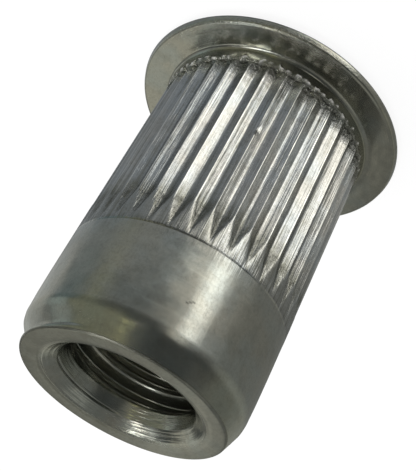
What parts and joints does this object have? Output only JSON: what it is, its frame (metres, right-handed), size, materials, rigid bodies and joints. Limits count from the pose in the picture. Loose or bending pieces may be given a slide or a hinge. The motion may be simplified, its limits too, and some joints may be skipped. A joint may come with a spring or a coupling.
{
  "type": "rivet nut",
  "caption": "Flat-head blind rivet nut with a straight-knurled shank, a bevelled open end and a tapped bore.",
  "frame": {"origin": "centre of the head's outer face, on the bore's axis", "axes": "+Z along the bore's axis, from the head to the tapped open end"},
  "size_m": [0.0116, 0.0116, 0.0145],
  "materials": {
    "plated_steel": "zinc-plated, satin, scuffed along the knurl"
  },
  "bodies": {
    "root": {"rivet_nut": "plated_steel"}
  },
  "joints": []
}
